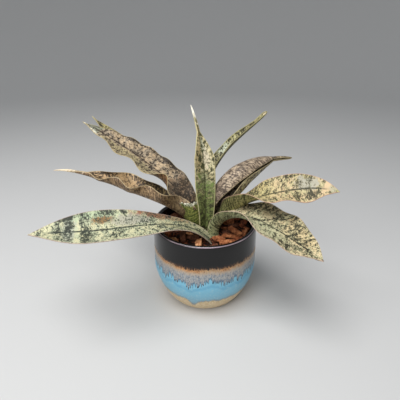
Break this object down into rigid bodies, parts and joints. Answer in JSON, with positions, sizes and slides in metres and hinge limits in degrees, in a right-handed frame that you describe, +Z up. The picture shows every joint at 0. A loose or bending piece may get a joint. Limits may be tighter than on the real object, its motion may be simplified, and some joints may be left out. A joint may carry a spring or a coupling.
{
  "type": "potted snake plant",
  "caption": "Potted snake plant: a spreading rosette of mottled, channelled succulent leaves in bark potting mix, standing in a round dip-glazed ceramic pot.",
  "frame": {"origin": "centre of the pot's underside, where the pot stands", "axes": "+Z up along the pot's axis; -Y towards the front of the pot, the side that the picture shows; +X to the right of that view"},
  "size_m": [0.3034, 0.1961, 0.2249],
  "materials": {
    "glaze": "gloss",
    "mix": "matte",
    "bark": "matte",
    "leaf_centre": "satin",
    "leaf_left_upper": "satin",
    "leaf_right_back": "satin",
    "leaf_right_rolled": "satin",
    "leaf_left_hidden": "satin",
    "leaf_left_middle": "satin",
    "leaf_right_middle": "satin",
    "leaf_stub": "satin",
    "leaf_right_low": "satin",
    "leaf_left_low": "satin"
  },
  "bodies": {
    "root": {"bark_chip_01": "bark", "bark_chip_02": "bark", "bark_chip_03": "bark", "bark_chip_04": "bark", "bark_chip_05": "bark", "bark_chip_06": "bark", "bark_chip_07": "bark", "bark_chip_08": "bark", "bark_chip_09": "bark", "bark_chip_10": "bark", "bark_chip_11": "bark", "bark_chip_12": "bark", "bark_chip_13": "bark", "bark_chip_14": "bark", "bark_chip_15": "bark", "bark_chip_16": "bark", "bark_chip_17": "bark", "bark_chip_18": "bark", "bark_chip_19": "bark", "bark_chip_20": "bark", "bark_chip_21": "bark", "bark_chip_22": "bark", "bark_chip_23": "bark", "bark_chip_24": "bark", "bark_chip_25": "bark", "bark_chip_26": "bark", "bark_chip_27": "bark", "bark_chip_28": "bark", "bark_chip_29": "bark", "bark_chip_30": "bark", "bark_chip_31": "bark", "bark_chip_32": "bark", "bark_chip_33": "bark", "bark_chip_34": "bark", "bark_chip_35": "bark", "bark_chip_36": "bark", "bark_chip_37": "bark", "bark_chip_38": "bark", "bark_chip_39": "bark", "bark_chip_40": "bark", "bark_chip_41": "bark", "bark_chip_42": "bark", "bark_chip_43": "bark", "bark_chip_44": "bark", "bark_chip_45": "bark", "bark_chip_46": "bark", "bark_chip_47": "bark", "bark_chip_48": "bark", "leaf_centre": "leaf_centre", "leaf_left_hidden": "leaf_left_hidden", "leaf_left_low": "leaf_left_low", "leaf_left_middle": "leaf_left_middle", "leaf_left_upper": "leaf_left_upper", "leaf_right_back": "leaf_right_back", "leaf_right_low": "leaf_right_low", "leaf_right_middle": "leaf_right_middle", "leaf_right_rolled": "leaf_right_rolled", "leaf_stub": "leaf_stub", "pot": "glaze", "potting_mix": "mix"}
  },
  "joints": []
}
